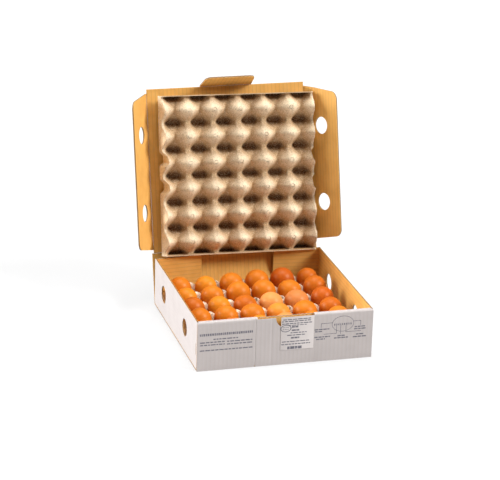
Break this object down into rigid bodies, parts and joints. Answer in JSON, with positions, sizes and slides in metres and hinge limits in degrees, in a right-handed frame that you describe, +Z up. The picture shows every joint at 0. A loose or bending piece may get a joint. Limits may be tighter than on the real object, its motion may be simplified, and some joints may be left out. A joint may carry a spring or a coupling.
{
  "type": "open egg box with a filled egg tray",
  "caption": "Shallow corrugated box with an upright hinged lid, a moulded pulp tray full of brown eggs inside and an empty pulp tray leaning in the lid.",
  "frame": {"origin": "middle of the underside of the box's bottom, at the level it stands on", "axes": "+Z up, -Y towards the front wall with the label, +X to the right seen from the front"},
  "size_m": [0.3872, 0.4193, 0.4108],
  "materials": {
    "board_white": "matte white liner outside, kraft inside",
    "board_kraft": "matte kraft",
    "label_paper": "smooth",
    "pulp": "rough moulded pulp",
    "egg_brown": "satin shell",
    "egg_deep": "satin shell",
    "egg_pale": "satin shell"
  },
  "bodies": {
    "base": {"carton_base": "board_white", "front_label": "label_paper", "lower_tray": "pulp", "egg_r1_c1": "egg_brown", "egg_r1_c2": "egg_brown", "egg_r1_c3": "egg_brown", "egg_r1_c4": "egg_brown", "egg_r1_c5": "egg_deep", "egg_r1_c6": "egg_deep", "egg_r2_c1": "egg_brown", "egg_r2_c2": "egg_brown", "egg_r2_c3": "egg_brown", "egg_r2_c4": "egg_brown", "egg_r2_c5": "egg_brown", "egg_r2_c6": "egg_deep", "egg_r3_c1": "egg_brown", "egg_r3_c2": "egg_brown", "egg_r3_c3": "egg_brown", "egg_r3_c4": "egg_pale", "egg_r3_c5": "egg_pale", "egg_r3_c6": "egg_deep", "egg_r4_c1": "egg_brown", "egg_r4_c2": "egg_brown", "egg_r4_c3": "egg_brown", "egg_r4_c4": "egg_pale", "egg_r4_c5": "egg_pale", "egg_r4_c6": "egg_brown", "egg_r5_c1": "egg_brown", "egg_r5_c2": "egg_brown", "egg_r5_c3": "egg_brown", "egg_r5_c4": "egg_brown", "egg_r5_c5": "egg_brown", "egg_r5_c6": "egg_brown"},
    "lid": {"lid_panel": "board_kraft", "spare_tray": "pulp"},
    "flap_left": {"lid_flap_left": "board_kraft"},
    "flap_right": {"lid_flap_right": "board_kraft"},
    "tab": {"lock_tab": "board_kraft"}
  },
  "joints": [
    {"name": "lid_hinge", "type": "hinge", "parent": "base", "child": "lid", "pos_m": [0, 0.18202, 0.09269], "axis": [1, 0, 0], "range_deg": [-85, 0]},
    {"name": "flap_left_fold", "type": "hinge", "parent": "lid", "child": "flap_left", "pos_m": [-0.1568, 0.18202, 0.09269], "axis": [0, 0.2588, 0.9659], "range_deg": [-60, 30]},
    {"name": "flap_right_fold", "type": "hinge", "parent": "lid", "child": "flap_right", "pos_m": [0.1458, 0.18202, 0.09269], "axis": [0, -0.2588, -0.9659], "range_deg": [-36, 0]},
    {"name": "tab_fold", "type": "hinge", "parent": "lid", "child": "tab", "pos_m": [0, 0.26, 0.38373], "axis": [1, 0, 0], "range_deg": [-70, 20]}
  ]
}
